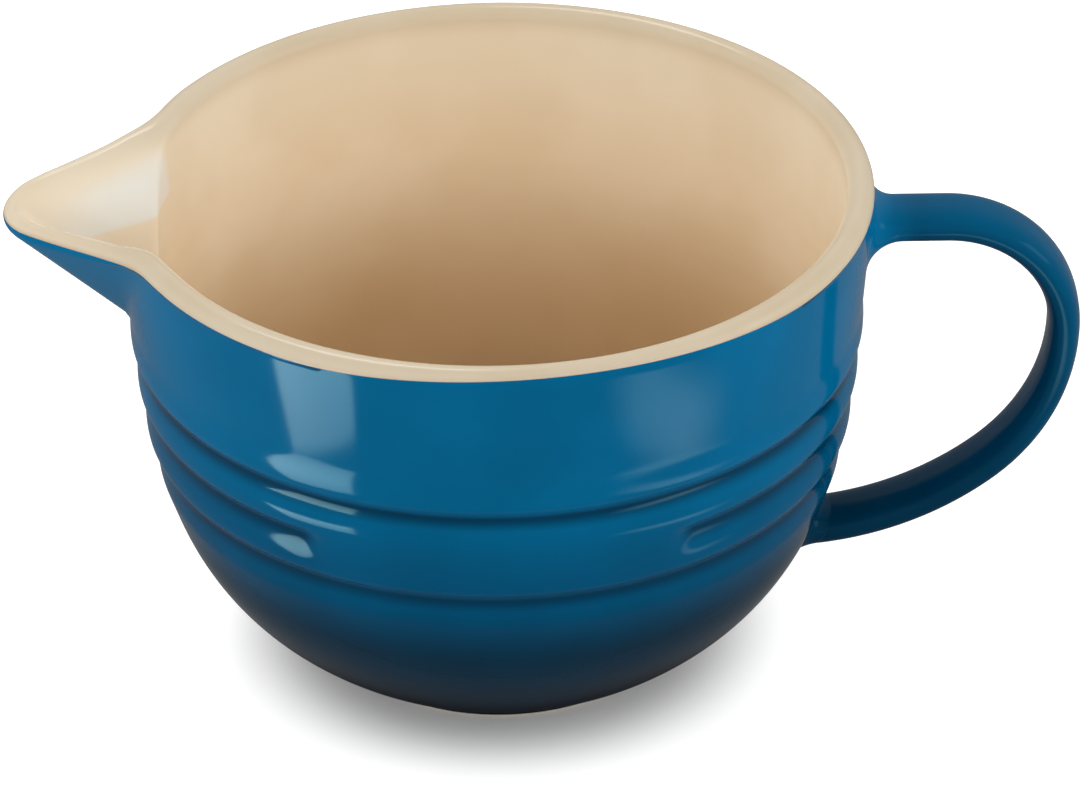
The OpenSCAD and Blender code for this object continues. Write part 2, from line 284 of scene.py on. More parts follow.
def top_level(turn, inset):
    """Level at which the outside runs into the lip's round."""
    lean = lip_lean(turn)
    return 1 - (LIP_R - inset) * np.cos(lean) * np.sin(lean) / spout_height(turn)


def inner_lip(turn, t):
    """Points from the lip's top down its inner side. On the turned wall that is a quarter circle and
    then the straight wall. On the spout it opens into one wide round, whose inset follows a sine,
    its rise a smooth step and its level a square, so that it is smooth with lip and channel."""
    s = np.linspace(0, 1, INNER_LIP_STATIONS + 1)[1:]
    r = (t - LIP_R) * np.cos(lip_lean(turn))[:, None]
    quarter, straight = np.minimum(2 * s, 1) * math.pi / 2, np.maximum(2 * s - 1, 0)
    wide = on_spout(turn)[:, None]
    inset = LIP_R + (t - LIP_R) * (np.sin(quarter) * (1 - wide) + np.sin(s * math.pi / 2) * wide)
    rise = r * (np.cos(quarter) * (1 - wide) + (1 - ramp(s)) * wide)
    level = 1 - (1 - ROUND_LEVEL) * (straight * (1 - wide) + s * s * wide)
    return upper_wall(turn, level, inset, rise, np.sin(s * math.pi / 2),
                      SPOUT_BLEND + (SPOUT_CREASE - SPOUT_BLEND) * ramp(s), plain_skin)


floor_depth = BOWL_H - FLOOR_CURVE_H
SQUARE_OVER = 20.0


def inside_profile(t, count):
    """Radius and height of the inside below the spout's root: the bare wall moved in, then one arc
    that ends level on the floor, then the floor to the axis. The move goes over by a smooth step
    from level, as above the root, to square to the wall."""
    depth = np.linspace(SPOUT_DROP, floor_depth, count)
    r = plain_r(depth)
    slope = -np.gradient(r, depth)
    at_own_height = 1 - ramp((depth - SPOUT_DROP) / SQUARE_OVER)
    square = 1 + (np.sqrt(1 + slope * slope) - 1) * (1 - at_own_height)
    radius = r - t * (square * at_own_height + (1 - at_own_height) / square)
    z = BOWL_H - depth + t * slope / square * (1 - at_own_height)
    turn = math.atan(1 / slope[-1])
    floor_z = RECESS_H + FLOOR_T - (WALL_T - t)
    arc_r = (z[-1] - floor_z) / (1 - math.cos(turn))
    a = np.linspace(turn, 0, FLOOR_ARC_STATIONS + 1)[1:]
    arc = radius[-1] - arc_r * (math.sin(turn) - np.sin(a))
    flat = np.linspace(arc[-1], 0, FLOOR_STATIONS + 1)[1:]
    radius = np.concatenate([radius, arc, flat])
    z = np.concatenate([z, floor_z + arc_r * (1 - np.cos(a)), np.full(flat.shape, floor_z)])
    return radius, z


def turned(turn, radius, z):
    """A profile carried round the axis."""
    return on_turn(turn[:, None], radius[None, :], z[None, :])


def make_piece(name, rings, material, nodes, closed_profile=True, marks=None):
    """A smooth-shaded piece from a grid of points (around, along, 3) in millimetres. It closes round
    the first way, and along the second too for a coat with two faces. Points that coincide at a pole
    are merged. The marks are named values from 0 to 1 on the same grid, for the material."""
    n, m = rings.shape[:2]
    index = np.arange(n * m).reshape(n, m)
    if closed_profile:
        index = np.concatenate([index, index[:, :1]], axis=1)
    index = np.concatenate([index, index[:1]], axis=0)
    quads = np.stack([index[:-1, :-1], index[1:, :-1], index[1:, 1:], index[:-1, 1:]], axis=-1)
    points, quads = rings.reshape(-1, 3), quads.reshape(-1, 4)
    _, first, again = np.unique(np.round(points, 5), axis=0, return_index=True, return_inverse=True)
    points, quads = points[first] * MM, again.reshape(-1)[quads]
    flat = [tuple(dict.fromkeys(q)) for q in quads.tolist()]
    mesh = bpy.data.meshes.new(name)
    mesh.from_pydata(points.tolist(), [], [f for f in flat if len(f) > 2])
    mesh.polygons.foreach_set("use_smooth", np.ones(len(mesh.polygons), bool))
    for mark, values in (marks or {}).items():
        layer = mesh.attributes.new(mark, "FLOAT", "POINT")
        layer.data.foreach_set("value", values.reshape(-1)[first])
    mesh.update()
    mesh.materials.append(material)
    piece = bpy.data.objects.new(name, mesh)
    bpy.context.scene.collection.objects.link(piece)
    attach(piece, "root")
    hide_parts(*nodes)
    return piece


def srgb(code):
    """An sRGB hex colour as linear red, green, blue and alpha."""
    parts = [int(code[i:i + 2], 16) / 255 for i in (1, 3, 5)]
    return [c / 12.92 if c <= 0.04045 else ((c + 0.055) / 1.055) ** 2.4 for c in parts] + [1.0]


def add(tree, kind, settings=(), links=()):
    """Adds a node with its settings, and links its inputs from other nodes' outputs."""
    node = tree.nodes.new(kind)
    for key, value in dict(settings).items():
        if isinstance(key, int) or key in node.inputs:
            node.inputs[key].default_value = value
        else:
            setattr(node, key, value)
    for key, source in dict(links).items():
        tree.links.new(source, node.inputs[key])
    return node


def finish(name, **sockets):
    """A material with one Principled shader, its constants set on its own sockets."""
    material = bpy.data.materials.new(name)
    material.use_nodes = True
    tree = material.node_tree
    shader = tree.nodes["Principled BSDF"]
    for key, value in sockets.items():
        shader.inputs[key.replace("_", " ")].default_value = value
    return material, tree, shader


def ramp_node(tree, source, stops, smooth=True):
    """A colour ramp over a value, from (place, colour) stops."""
    node = add(tree, "ShaderNodeValToRGB", links={"Fac": source})
    node.color_ramp.interpolation = "EASE" if smooth else "LINEAR"
    spare = node.color_ramp.elements
    while len(spare) > 1:
        spare.remove(spare[-1])
    spare[0].position, spare[0].color = stops[0]
    for place, colour in stops[1:]:
        spare.new(place).color = colour
    return node.outputs["Color"]


def blue_glaze():
    """Gloss teal-blue glaze, fired on, with painted shade: darker towards the foot, in the grooves, on
    the front and round the handle's bends. Its surface keeps a very slight wave."""
    material, tree, shader = finish("gloss teal-blue stoneware glaze", Roughness=0.09, IOR=1.5,
                                    Specular_IOR_Level=0.2, Specular_Tint=srgb("#B4FFFF"))
    place = add(tree, "ShaderNodeTexCoord").outputs["Object"]
    split = add(tree, "ShaderNodeSeparateXYZ", links={"Vector": place})
    height = add(tree, "ShaderNodeMath", {"operation": "DIVIDE", 1: BOWL_H * MM},
                 {0: split.outputs["Z"]})
    # Painted shade: the colour falls from the wall's blue to near black towards the foot
    colour = ramp_node(tree, height.outputs[0], [
        (0.0, srgb("#000408")), (0.14, srgb("#000A16")), (0.3, srgb("#002438")),
        (0.5, srgb("#005279")), (0.7, srgb("#006490")), (1.0, srgb("#006896"))])
    # Painted shade mark: darker in the grooves, on the front and on the handle
    painted_shade = add(tree, "ShaderNodeAttribute", {"attribute_name": "painted_shade"}).outputs["Fac"]
    with_painted_shade = add(tree, "ShaderNodeMixRGB", {"Color2": srgb("#003450")},
                 {"Fac": painted_shade, "Color1": colour})
    cloud = add(tree, "ShaderNodeTexNoise", {"Scale": 1 / (30 * MM), "Detail": 2.0},
                {"Vector": place})
    shade = ramp_node(tree, cloud.outputs["Fac"], [(0.35, srgb("#F4F4F4")), (0.65, srgb("#FFFFFF"))])
    clouded = add(tree, "ShaderNodeMixRGB", {"blend_type": "MULTIPLY", "Fac": 1.0},
                  {"Color1": with_painted_shade.outputs["Color"], "Color2": shade})
    tree.links.new(clouded.outputs["Color"], shader.inputs["Base Color"])
    tree.links.new(orange_peel(tree, place, 14.0, 0.02), shader.inputs["Normal"])
    return material


def orange_peel(tree, place, size, depth):
    """Bump of a fired glaze: gentle waves of the given size across and depth, both in millimetres."""
    waves = add(tree, "ShaderNodeTexNoise", {"Scale": 1 / (size * MM), "Detail": 1.5},
                {"Vector": place})
    bump = add(tree, "ShaderNodeBump", {"Strength": 1.0, "Distance": depth * MM},
               {"Height": waves.outputs["Fac"]})
    return bump.outputs["Normal"]


def cream_glaze():
    """Gloss cream glaze over buff clay, deeper and warmer down in the bowl as painted shade, greyer
    where it thins at its edge on the lip, with a near-white painted reflection in the spout and faint
    thrown rings about 8 mm apart."""
    material, tree, shader = finish("gloss cream stoneware glaze", Roughness=0.16, IOR=1.5,
                                    Specular_IOR_Level=0.35)
    place = add(tree, "ShaderNodeTexCoord").outputs["Object"]
    split = add(tree, "ShaderNodeSeparateXYZ", links={"Vector": place})
    height = add(tree, "ShaderNodeMath", {"operation": "DIVIDE", 1: BOWL_H * MM},
                 {0: split.outputs["Z"]})
    # Painted shade: deeper and warmer towards the bottom of the bowl
    colour = ramp_node(tree, height.outputs[0], [
        (0.06, srgb("#D0AA7C")), (0.35, srgb("#DCC098")), (0.7, srgb("#E6D2B4")),
        (0.94, srgb("#E4D6BE")), (1.0, srgb("#D0C1A8"))])
    thin = add(tree, "ShaderNodeAttribute", {"attribute_name": "thin"}).outputs["Fac"]
    edged = add(tree, "ShaderNodeMixRGB", {"Color2": srgb("#CEBCA2")},
                {"Fac": thin, "Color1": colour})
    # Painted reflection: near white in the spout's channel
    painted_reflection = add(tree, "ShaderNodeAttribute", {"attribute_name": "painted_reflection"}).outputs["Fac"]
    reflection_paint = add(tree, "ShaderNodeMixRGB", {"Color2": srgb("#E2E0D8")},
                 {"Fac": painted_reflection, "Color1": edged.outputs["Color"]})
    cloud = add(tree, "ShaderNodeTexNoise", {"Scale": 1 / (35 * MM), "Detail": 2.0},
                {"Vector": place})
    shade = ramp_node(tree, cloud.outputs["Fac"], [(0.35, srgb("#FAF7F2")), (0.65, srgb("#FFFFFF"))])
    clouded = add(tree, "ShaderNodeMixRGB", {"blend_type": "MULTIPLY", "Fac": 1.0},
                  {"Color1": reflection_paint.outputs["Color"], "Color2": shade})
    tree.links.new(clouded.outputs["Color"], shader.inputs["Base Color"])
    rings = add(tree, "ShaderNodeTexWave", {"bands_direction": "Z", "Scale": 0.314 / (8 * MM),
                                            "Distortion": 1.2, "Detail": 1.0}, {"Vector": place})
    inside_only = add(tree, "ShaderNodeAttribute", {"attribute_name": "thrown"}).outputs["Fac"]
    ring_height = add(tree, "ShaderNodeMath", {"operation": "MULTIPLY"},
                      {0: rings.outputs["Fac"], 1: inside_only})
    ringed = add(tree, "ShaderNodeBump", {"Strength": 1.0, "Distance": 0.06 * MM},
                 {"Height": ring_height.outputs[0], "Normal": orange_peel(tree, place, 16.0, 0.02)})
    tree.links.new(ringed.outputs["Normal"], shader.inputs["Normal"])
    return material


def bare_stoneware():
    """Fired buff stoneware without glaze: matt, grainy and speckled."""
    material, tree, shader = finish("bare buff stoneware", Roughness=0.75)
    place = add(tree, "ShaderNodeTexCoord").outputs["Object"]
    grain = add(tree, "ShaderNodeTexNoise", {"Scale": 1 / (1.2 * MM), "Detail": 4.0},
                {"Vector": place})
    colour = ramp_node(tree, grain.outputs["Fac"], [(0.3, srgb("#A8927A")), (0.7, srgb("#D2BFA3"))])
    tree.links.new(colour, shader.inputs["Base Color"])
    bump = add(tree, "ShaderNodeBump", {"Strength": 0.4, "Distance": 0.05 * MM},
               {"Height": grain.outputs["Fac"]})
    tree.links.new(bump.outputs["Normal"], shader.inputs["Normal"])
    return material


BLUE = blue_glaze()
CREAM = cream_glaze()
CLAY = bare_stoneware()

# Azimuths: closer together round the spout, and twice as far apart for what glaze hides
CLOSE_HALF = 40.0
CLOSE_STEP = 0.6
WIDE_STEP = 1.3
turns = np.concatenate([
    np.arange(SPOUT_SIDE - CLOSE_HALF, SPOUT_SIDE + CLOSE_HALF, CLOSE_STEP),
    np.arange(SPOUT_SIDE + CLOSE_HALF, SPOUT_SIDE - CLOSE_HALF + 360, WIDE_STEP)])
hidden_turns = turns[::2]
level_up = np.linspace(0, 1, SPOUT_STATIONS + 1)[1:]
LEVEL_STEP = 0.035


def outside(turn, inset, step):
    """Stations from the foot's edge up the belly, the ribs and the wall to the lip's centre. A face
    that glaze or clay hides has that many times fewer as its step."""
    depth = np.concatenate([np.linspace(belly_depth, RIBS_FROM, BELLY_STATIONS // step)[:-1],
                            np.linspace(RIBS_FROM, SPOUT_DROP, RIB_STATIONS // step)])
    low = lower_outside(turn, depth, inset)
    high = upper_wall(turn, level_up[::step] * top_level(turn, inset)[:, None], inset)
    return np.concatenate([low, high], axis=1)


def inside(turn, t, step):
    """Stations from the lip's top down the inside to the axis, as many times fewer as the step."""
    down = np.arange(ROUND_LEVEL, 0.01, -LEVEL_STEP)[1:][::step]
    high = upper_wall(turn, down, t, 0.0, 1.0, SPOUT_CREASE, plain_skin)
    low = turned(turn, *inside_profile(t, INSIDE_STATIONS // step))
    return np.concatenate([inner_lip(turn, t), high, low], axis=1)


# Painted shade on the front: its share, and the width in degrees over which it fades
FRONT_SHADE = 0.25
FRONT_SHADE_W = 65.0


def painted_shade_share(rings):
    """Painted shade on the blue coat: the grooves' share of depth at each point, by its height and
    turn, and a lesser share on the front, which fades by a smooth step to the sides."""
    turn = np.degrees(np.arctan2(rings[..., 1], rings[..., 0])) % 360
    depth = BOWL_H - rings[..., 2]
    off_front = np.abs((turn - FRONT + 180) % 360 - 180)
    shown = ramp((off_front - PANEL_ANGLE / 2) / RUNOUT_ANGLE)
    grooves = np.clip(groove(depth - GROOVE_DROP) + groove(depth - last_groove)
                      + shown * groove(depth - middle_groove), 0, 1) ** 3
    return np.maximum(grooves, FRONT_SHADE * (1 - ramp(off_front / FRONT_SHADE_W)))


def glaze_line(turn):
    """Angle up the lip's round where the blue coat was wiped off: a level plus a cosine wave."""
    return GLAZE_LINE + GLAZE_WAVER * np.cos(GLAZE_WAVES * np.radians(turn - GLAZE_HIGH_AT))


def lip_steps(turn, count):
    """Even steps round the lip from where it leaves the wall to the glaze line."""
    start = lip_start(turn)[:, None]
    return start + (glaze_line(turn)[:, None] - start) * np.linspace(0, 1, count + 1)[1:]


# The blue coat runs thin down the foot's side, to this height, and reaches a little into the clay
run_z = np.array([0.8, 2.2])
RUN_T = 0.3
RUN_IN = 0.1


def make_outer_glaze():
    """Blue coat: its face from a thin run on the foot's side up to the glaze line on the lip, and its
    back down again."""
    face = np.concatenate([turned(turns, np.full(2, FOOT_D / 2 + RUN_T), run_z),
                           outside(turns, 0, 1), lip(turns, 0, lip_steps(turns, 12))], axis=1)
    rear = np.concatenate([turned(turns, np.full(2, FOOT_D / 2 - RUN_IN), run_z),
                           outside(turns, GLAZE_T, 4),
                           lip(turns, GLAZE_T, lip_steps(turns, 6))], axis=1)
    rings = np.concatenate([face, rear[:, ::-1]], axis=1)
    return make_piece("blue_glaze_coat", rings, BLUE, ["outer_glaze"],
                      marks={"painted_shade": painted_shade_share(rings)})


# Marks on the cream coat: thin for so many degrees up the lip's round from its edge, thrown rings
# from a depth below the lip, and a near-white painted reflection in the spout's channel, within so
# many degrees of its middle, from its tip's x inwards, over so many of its stations from the lip
THIN_OVER = 30.0
THROWN_FROM, THROWN_OVER = 12.0, 30.0
REFLECTION_HALF, REFLECTION_EDGE = 19.0, 3.0
REFLECTION_X, REFLECTION_X_OVER = -119.0, 22.0
REFLECTION_STATIONS = slice(LIP_STATIONS + 9, LIP_STATIONS + INNER_LIP_STATIONS)
REFLECTION_STATIONS_OVER = 12


def make_liner_glaze():
    """Cream coat: over the lip from the glaze line, down the inside to the axis, and back up."""
    line = glaze_line(turns)[:, None]
    over = line + (90 - line) * np.linspace(0, 1, LIP_STATIONS)
    face = np.concatenate([lip(turns, 0, over), inside(turns, WALL_T, 1)], axis=1)
    rear = np.concatenate([lip(turns, GLAZE_T, over[:, ::2]),
                           inside(turns, WALL_T - GLAZE_T, 3)], axis=1)
    rings = np.concatenate([face, rear[:, ::-1]], axis=1)
    thin = np.zeros(rings.shape[:2])
    thin[:, :LIP_STATIONS] = 1 - ramp((over - line) / THIN_OVER)
    thrown = ramp((BOWL_H - THROWN_FROM - rings[..., 2]) / THROWN_OVER)
    thrown[:, :LIP_STATIONS] = 0
    off = np.abs(turns - SPOUT_SIDE)[:, None]
    # Painted reflection in the spout's channel, from its tip inwards
    reflection_paint = ramp((REFLECTION_HALF - off) / REFLECTION_EDGE) * ramp((rings[..., 0] - REFLECTION_X) / REFLECTION_X_OVER)
    station = np.arange(REFLECTION_STATIONS.stop - REFLECTION_STATIONS.start)
    painted_reflection = np.zeros(rings.shape[:2])
    painted_reflection[:, REFLECTION_STATIONS] = reflection_paint[:, REFLECTION_STATIONS] * ramp(station / REFLECTION_STATIONS_OVER)
    return make_piece("cream_glaze_liner", rings, CREAM, ["liner_glaze"],
                      marks={"thin": thin, "thrown": thrown, "painted_reflection": painted_reflection})


def make_body():
    """Stoneware under the glaze: recess, foot ring, outside, lip and inside, closed at the axis."""
    outer, inner = FOOT_D / 2, FOOT_D / 2 - FOOT_W
    foot = np.array([[0, RECESS_H], [inner - 2 * FOOT_EDGE, RECESS_H], [inner - FOOT_EDGE, RECESS_H],
                     [inner, 0.1], [inner + 0.2, 0], [outer - FOOT_EDGE, 0],
                     [outer, FOOT_EDGE], [outer, FOOT_H]])
    skin = hidden_turns
    share = np.linspace(0, 1, 10)[1:]
    rings = np.concatenate([
        turned(skin, foot[:, 0], foot[:, 1]),
        outside(skin, GLAZE_T, 2),
        lip(skin, GLAZE_T, lip_start(skin)[:, None] * (1 - share) + 90 * share),
        inside(skin, WALL_T - GLAZE_T, 2)], axis=1)
    return make_piece("stoneware_body", rings, CLAY, ["bowl_body"], closed_profile=False)


make_body()
make_outer_glaze()
make_liner_glaze()

# The strap's axis in the XZ plane: a level run, then three arcs that follow on smoothly
strap_z = BOWL_H - STRAP_DROP
widest_x = RIM_D / 2 + STRAP_REACH
crook = np.array([widest_x - CROOK_R, strap_z - CROOK_R])
bow = np.array([widest_x - BOW_R, crook[1]])
bow_end = math.radians(BOW_ANGLE)
tail = bow + (BOW_R - TAIL_R) * np.array([math.cos(bow_end), -math.sin(bow_end)])
tail_end = math.radians(BOW_ANGLE + TAIL_ANGLE)


def wall_x(y, z):
    """How far out the wall's glazed face is at a width and a height, on the handle's side."""
    return np.sqrt(wall_r(BOWL_H - z, 0.0) ** 2 - y * y)


def axis_places(step):
    """Places along the strap's axis, about a step apart, as (x, z, angle of its outer face)."""
    top_x = float(wall_x(0.0, strap_z))
    count = int((crook[0] - top_x) / step)
    runs = [np.stack([np.linspace(top_x, crook[0], count), np.full(count, strap_z),
                      np.full(count, math.pi / 2)], axis=1)]
    for centre, r, start, end in ((crook, CROOK_R, math.pi / 2, 0), (bow, BOW_R, 0, -bow_end),
                                  (tail, TAIL_R, -bow_end, -tail_end)):
        a = np.linspace(start, end, int(abs(end - start) * r / step) + 1)[1:]
        runs.append(np.stack([centre[0] + r * np.cos(a), centre[1] + r * np.sin(a), a], axis=1))
    return np.concatenate(runs)


SECTION_POINTS = 72
section_angle = np.linspace(0, 2 * np.pi, SECTION_POINTS, endpoint=False)


def strap_section():
    """Section of the strap as a superellipse: x is through its thickness and y across its width."""
    c, s = np.cos(section_angle), np.sin(section_angle)
    x = STRAP_T / 2 * np.sign(c) * np.abs(c) ** (2 / STRAP_POWER)
    y = STRAP_W / 2 * np.sign(s) * np.abs(s) ** (2 / STRAP_POWER)
    return x, y


def strap_rings(places):
    """The section carried along the axis, as (places, section points, 3)."""
    x, y = strap_section()
    a = places[:, 2:3]
    return np.stack([places[:, 0:1] + x * np.cos(a), np.broadcast_to(y, (len(places), len(y))),
                     places[:, 1:2] + x * np.sin(a)], axis=-1)


def onto_wall(points, direction):
    """Slides points along a direction until they lie on the wall's face, by Newton's steps."""
    points = points.copy()
    for _ in range(12):
        gap = wall_x(points[:, 1], points[:, 2]) - points[:, 0]
        beside = points + 0.01 * direction
        change = (wall_x(beside[:, 1], beside[:, 2]) - beside[:, 0] - gap) / 0.01
        points = points - (gap / change)[:, None] * direction
    return points


def root_fillet(ring, into_wall, thick_sign, reach, count):
    """Fillet between the strap's surface and the wall: for each point of the strap's section a quarter
    ellipse about the corner, from the foot on the wall to the strap, level with both."""
    corner = onto_wall(ring, into_wall)
    middle = corner.mean(axis=0)
    slope = (wall_x(0.0, middle[2] + 0.5) - wall_x(0.0, middle[2] - 0.5))
    face = np.array([1.0, 0.0, -slope])
    face /= np.linalg.norm(face)
    x, y = strap_section()
    through = np.sign(x) * np.abs(2 * x / STRAP_T) ** (STRAP_POWER - 1) / STRAP_T
    across = np.sign(y) * np.abs(2 * y / STRAP_W) ** (STRAP_POWER - 1) / STRAP_W
    thick = np.array([into_wall[2], 0.0, -into_wall[0]]) * thick_sign
    normal = through[:, None] * thick + across[:, None] * np.array([0.0, 1.0, 0.0])
    normal -= (normal @ face)[:, None] * face
    normal /= np.linalg.norm(normal, axis=1)[:, None]
    foot = corner + normal * reach[:, None]
    foot[:, 0] = wall_x(foot[:, 1], foot[:, 2])
    t = np.linspace(0, np.pi / 2, count)[:, None, None]
    strap = corner - into_wall * reach[:, None] * 1.1
    return corner + (foot - corner) * (1 - np.sin(t)) + (strap - corner) * (1 - np.cos(t))


# Painted shade on the strap's glaze: darker from a drop below its axis at the top, and low down from a
# height above the tail's centre and an x outwards, over so many millimetres each, and most on its
# inner face
BEND_DROP, BEND_OVER = 12.0, 28.0
LOW_RISE, LOW_OVER = 46.0, 40.0
LOW_X, LOW_X_OVER = 98.0, 12.0
OUTER_SHADE = 0.55
FILLET_STATIONS = 22
SEATED = 3.0


def make_handle():
    """Strap with its slip fillets at both roots, under one coat of blue glaze. Both ends reach a
    little into the wall and are closed there."""
    places = axis_places(1.0)
    rings = strap_rings(places)
    upper_in = np.array([-1.0, 0.0, 0.0])
    lower_in = np.array([-math.sin(tail_end), 0.0, -math.cos(tail_end)])
    x, y = strap_section()
    top_side = ramp(x / STRAP_T + 0.5)
    upper_reach = JOINT_R + (JOINT_TOP_R - JOINT_R) * top_side
    lower_reach = np.full(SECTION_POINTS, JOINT_R)
    start = int(1.3 * JOINT_R)
    upper = root_fillet(rings[start], upper_in, 1, upper_reach, FILLET_STATIONS)
    lower = root_fillet(rings[-1], lower_in, -1, lower_reach, FILLET_STATIONS)
    inner_up = upper[:1] + upper_in * SEATED
    inner_low = lower[:1] + lower_in * SEATED
    cap_up = np.broadcast_to(inner_up.mean(axis=1, keepdims=True), inner_up.shape)
    cap_low = np.broadcast_to(inner_low.mean(axis=1, keepdims=True), inner_low.shape)
    whole = np.concatenate([cap_up, inner_up, upper, rings[start:],
                            lower[::-1], inner_low, cap_low])
    # Painted shade on the strap: darker round its bend, low down, and most on its inner face
    round_bend = ramp((strap_z - BEND_DROP - whole[..., 2]) / BEND_OVER)
    low_down = (ramp((tail[1] + LOW_RISE - whole[..., 2]) / LOW_OVER)
                * ramp((whole[..., 0] - LOW_X) / LOW_X_OVER))
    facing_in = ramp(0.5 - x / STRAP_T)
    painted_shade = np.maximum(round_bend, low_down) * (OUTER_SHADE + (1 - OUTER_SHADE) * facing_in)
    whole, painted_shade = np.swapaxes(whole, 0, 1)[::-1], np.swapaxes(painted_shade, 0, 1)[::-1]
    return make_piece("strap_handle_with_slip", whole, BLUE,
                      ["handle", "upper_slip_joint", "lower_slip_joint"], closed_profile=False,
                      marks={"painted_shade": painted_shade})


make_handle()


def seen(tree, in_gloss=1.0):
    """1 for rays from the camera and through glass, a given share for rays in gloss, and 0 for rays
    that light things."""
    path = add(tree, "ShaderNodeLightPath").outputs
    gloss = add(tree, "ShaderNodeMath", {"operation": "MULTIPLY_ADD", 1: in_gloss},
                {0: path["Is Glossy Ray"], 2: path["Is Camera Ray"]})
    return add(tree, "ShaderNodeMath", {"operation": "MAXIMUM"},
               {0: gloss.outputs[0], 1: path["Is Transmission Ray"]}).outputs[0]


# The table: half its width, and the distances from the bowl's axis between which its own glow rises
# to its level. In gloss, table and surround show at a share of their glow.
TABLE_HALF = 3000.0
GLOW_FROM, GLOW_TO = 50.0, 79.0
TABLE_GLOW = 0.6
GLOSS_SHARE = 0.25


def make_floor():
    """A plain white table. Away from the bowl's foot it shows brighter than the light on it makes it,
    by a smooth step over the distance from the bowl's axis. In gloss it shows darker."""
    half = TABLE_HALF * MM
    corners = [(-half, -half, 0), (half, -half, 0), (half, half, 0), (-half, half, 0)]
    mesh = bpy.data.meshes.new("table")
    mesh.from_pydata(corners, [], [(0, 1, 2, 3)])
    table = bpy.data.objects.new("table", mesh)
    bpy.context.scene.collection.objects.link(table)
    material, tree, shader = finish("matt white table", Roughness=0.9, Specular_IOR_Level=0.0,
                                    Emission_Color=srgb("#FFFFFF"))
    place = add(tree, "ShaderNodeTexCoord").outputs["Object"]
    apart = add(tree, "ShaderNodeVectorMath", {"operation": "LENGTH"}, {0: place})
    spread = add(tree, "ShaderNodeMapRange",
                 {"interpolation_type": "SMOOTHSTEP", "From Min": GLOW_FROM * MM,
                  "From Max": GLOW_TO * MM, "To Min": 0.0, "To Max": TABLE_GLOW},
                 {"Value": apart.outputs["Value"]})
    glow = add(tree, "ShaderNodeMath", {"operation": "MULTIPLY"},
               {0: spread.outputs[0], 1: seen(tree, GLOSS_SHARE)})
    tree.links.new(glow.outputs[0], shader.inputs["Emission Strength"])
    gloss = add(tree, "ShaderNodeLightPath").outputs["Is Glossy Ray"]
    shade = add(tree, "ShaderNodeMixRGB", {"Color1": srgb("#E0E0E0"), "Color2": srgb("#404040")},
                {"Fac": gloss})
    tree.links.new(shade.outputs["Color"], shader.inputs["Base Color"])
    mesh.materials.append(material)


make_floor()


# Lamps stand round the middle of the bowl at a distance. The glow cards lie on the table.
MIDDLE = (0.0, 0.0, 70.0)
LAMP_DISTANCE = 1500.0
CARD_Z = 2.0
CARD_POINTS = 41


def softbox(name, azimuth, elevation, width, height, radiance):
    """A rectangular soft lamp at an azimuth and an elevation, facing the bowl's middle, its sides in
    millimetres. Its power is pi x area x radiance."""
    a, e = math.radians(azimuth), math.radians(elevation)
    away = Vector((math.cos(e) * math.cos(a), math.cos(e) * math.sin(a), math.sin(e)))
    lamp = bpy.data.lights.new(name, "AREA")
    lamp.shape, lamp.size, lamp.size_y = "RECTANGLE", width * MM, height * MM
    lamp.energy = math.pi * lamp.size * lamp.size_y * radiance
    thing = bpy.data.objects.new(name, lamp)
    thing.location = (Vector(MIDDLE) + LAMP_DISTANCE * away) * MM
    thing.rotation_euler = (-away).to_track_quat("-Z", "Y").to_euler()
    thing.visible_camera = False
    bpy.context.scene.collection.objects.link(thing)


def glow_card(name, corners, radiance, soft):
    """A card that glows and lies just over the table, between four corners in millimetres, as a
    bilinear patch. It shows only as a reflection in gloss. Its glow is the radiance, from the inner
    edge to the outer one, faded by a smooth step over the soft share of its width at every edge."""
    n = CARD_POINTS
    u, v = np.meshgrid(np.linspace(0, 1, n), np.linspace(0, 1, n), indexing="ij")
    shares = np.stack([(1 - u) * (1 - v), (1 - u) * v, u * v, u * (1 - v)], axis=-1)
    flat = shares.reshape(-1, 4) @ np.array(corners)
    points = np.concatenate([flat, np.full((n * n, 1), CARD_Z)], axis=1) * MM
    index = np.arange(n * n).reshape(n, n)
    quads = np.stack([index[:-1, :-1], index[1:, :-1], index[1:, 1:], index[:-1, 1:]], axis=-1)
    mesh = bpy.data.meshes.new(name)
    mesh.from_pydata(points.tolist(), [], quads.reshape(-1, 4).tolist())
    fade = np.ones_like(u)
    for along in (u, 1 - u, v, 1 - v):
        fade = fade * ramp(along / soft)
    mesh.attributes.new("fade", "FLOAT", "POINT").data.foreach_set("value", fade.reshape(-1))
    level = radiance[0] + (radiance[1] - radiance[0]) * v
    mesh.attributes.new("glow", "FLOAT", "POINT").data.foreach_set("value", level.reshape(-1))
    material = bpy.data.materials.new(name)
    material.use_nodes = True
    tree = material.node_tree
    tree.nodes.remove(tree.nodes["Principled BSDF"])
    strength = add(tree, "ShaderNodeAttribute", {"attribute_name": "glow"}).outputs["Fac"]
    share = add(tree, "ShaderNodeAttribute", {"attribute_name": "fade"}).outputs["Fac"]
    light = add(tree, "ShaderNodeEmission", links={"Strength": strength})
    clear = add(tree, "ShaderNodeBsdfTransparent")
    mixed = add(tree, "ShaderNodeMixShader",
                links={0: share, 1: clear.outputs[0], 2: light.outputs[0]})
    tree.links.new(mixed.outputs[0], tree.nodes["Material Output"].inputs["Surface"])
    mesh.materials.append(material)
    card = bpy.data.objects.new(name, mesh)
    card.visible_camera = card.visible_diffuse = False
    card.visible_shadow = card.visible_transmission = False
    bpy.context.scene.collection.objects.link(card)


softbox("right softbox", 345, 22, 700, 500, radiance=1.2)
softbox("back softbox", 115, 62, 600, 400, radiance=5.0)
glow_card("left screen card", [(-165, -121), (-262, -121), (-205, -262), (-128, -178)],
          radiance=(4.8, 11.0), soft=0.05)
glow_card("right screen card", [(150, -95), (225, -90), (150, -260), (95, -215)],
          radiance=(2.8, 2.8), soft=0.4)

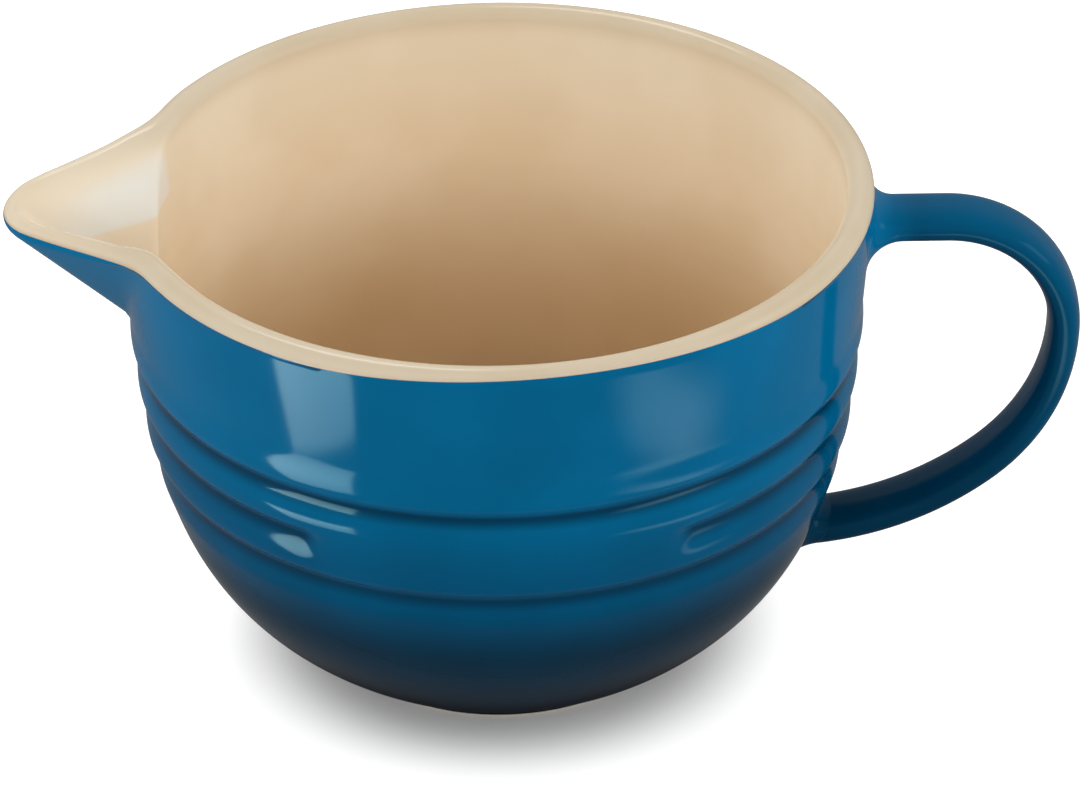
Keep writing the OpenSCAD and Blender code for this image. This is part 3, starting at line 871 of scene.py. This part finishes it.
# Brightness of the surround over the sine of the elevation, and its level in all
SCREENS = [(0.0, srgb("#404040")), (0.2, srgb("#8C8C8C")), (0.29, srgb("#FFFFFF")),
           (0.47, srgb("#FFFFFF")), (0.6, srgb("#808080")), (0.77, srgb("#5C5C5C")),
           (1.0, srgb("#303030"))]
SCREEN_LIGHT = 3.0


def make_surround():
    """White surround. It lights the object most from low down all round, as wide screens do, by a
    ramp over the direction's height. It shows as plain white to the camera, and less in gloss."""
    world = bpy.data.worlds.new("studio")
    bpy.context.scene.world = world
    world.use_nodes = True
    tree = world.node_tree
    direction = add(tree, "ShaderNodeTexCoord").outputs["Generated"]
    up = add(tree, "ShaderNodeSeparateXYZ", links={"Vector": direction}).outputs["Z"]
    screens = ramp_node(tree, up, SCREENS)
    light = add(tree, "ShaderNodeMath", {"operation": "MULTIPLY", 1: SCREEN_LIGHT}, {0: screens})
    unseen = add(tree, "ShaderNodeMath", {"operation": "SUBTRACT", 0: 1.0}, {1: seen(tree)})
    strength = add(tree, "ShaderNodeMath", {"operation": "MULTIPLY_ADD"},
                   {0: light.outputs[0], 1: unseen.outputs[0], 2: seen(tree, GLOSS_SHARE)})
    tree.links.new(strength.outputs[0], tree.nodes["Background"].inputs["Strength"])
    tree.nodes["Background"].inputs["Color"].default_value = srgb("#FFFFFF")


make_surround()

# Camera, fitted to the rim, the spout and the handle of the photograph: focal length, place of the
# rim's centre and frame in pixels, distance from that centre in millimetres
FOCAL_PX = 6000.0
RIM_PX = (494.4, 176.5)
FRAME_PX = (1080.0, 800.0)
DISTANCE = 1539.0
LOOK_DOWN = math.radians(31.8)
ROLL = math.radians(-0.8)


def make_camera():
    """A camera that looks down at a fixed angle, with the rim's centre at a chosen pixel."""
    ahead = Vector((0, math.cos(LOOK_DOWN), -math.sin(LOOK_DOWN)))
    level = Vector((1, 0, 0))
    above = level.cross(ahead)
    right = math.cos(ROLL) * level + math.sin(ROLL) * above
    up = -math.sin(ROLL) * level + math.cos(ROLL) * above
    to_rim = (ahead + right * ((RIM_PX[0] - FRAME_PX[0] / 2) / FOCAL_PX)
              - up * ((RIM_PX[1] - FRAME_PX[1] / 2) / FOCAL_PX))
    place = (Vector((0, 0, BOWL_H)) - to_rim * DISTANCE) * MM
    lens = bpy.data.cameras.new("camera")
    lens.sensor_width = 36.0
    lens.lens = FOCAL_PX / FRAME_PX[0] * lens.sensor_width
    lens.clip_end = 20.0
    camera = bpy.data.objects.new("camera", lens)
    camera.matrix_world = Matrix((
        (right.x, up.x, -ahead.x, place.x),
        (right.y, up.y, -ahead.y, place.y),
        (right.z, up.z, -ahead.z, place.z),
        (0, 0, 0, 1)))
    bpy.context.scene.collection.objects.link(camera)
    bpy.context.scene.camera = camera


make_camera()
bpy.context.scene.view_settings.view_transform = "Standard"
